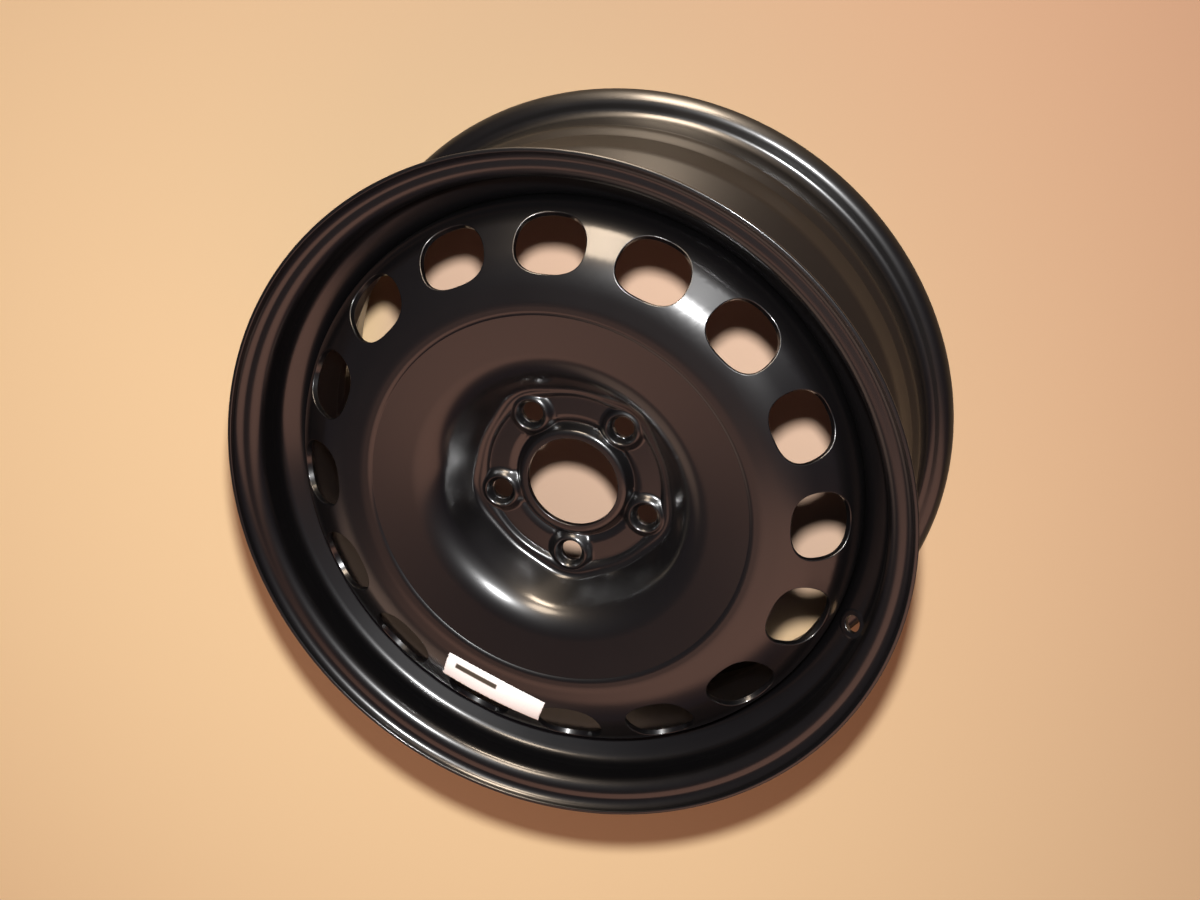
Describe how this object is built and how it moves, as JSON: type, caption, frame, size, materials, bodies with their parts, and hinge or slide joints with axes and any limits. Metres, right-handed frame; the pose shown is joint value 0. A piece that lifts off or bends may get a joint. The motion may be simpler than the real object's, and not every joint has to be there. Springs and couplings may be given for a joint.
{
  "type": "steel wheel rim",
  "caption": "Black stamped steel road wheel: rolled drop-centre rim with a vented pressed disc welded in, conical bolt seats, centre bore and valve hole.",
  "frame": {"origin": "centre of the bolt circle, on the hub face at the back of the disc", "axes": "+Z along the wheel's axis, outboard; +X through the valve hole; the wheel lies flat on its inboard lip"},
  "size_m": [0.4716, 0.4714, 0.1845],
  "materials": {
    "black_paint": "semi-gloss black",
    "painted_weld": "satin black over a rippled bead",
    "label_paper": "matte white"
  },
  "bodies": {
    "root": {"rim": "black_paint", "disc": "black_paint", "weld_beads": "painted_weld", "label": "label_paper"}
  },
  "joints": []
}
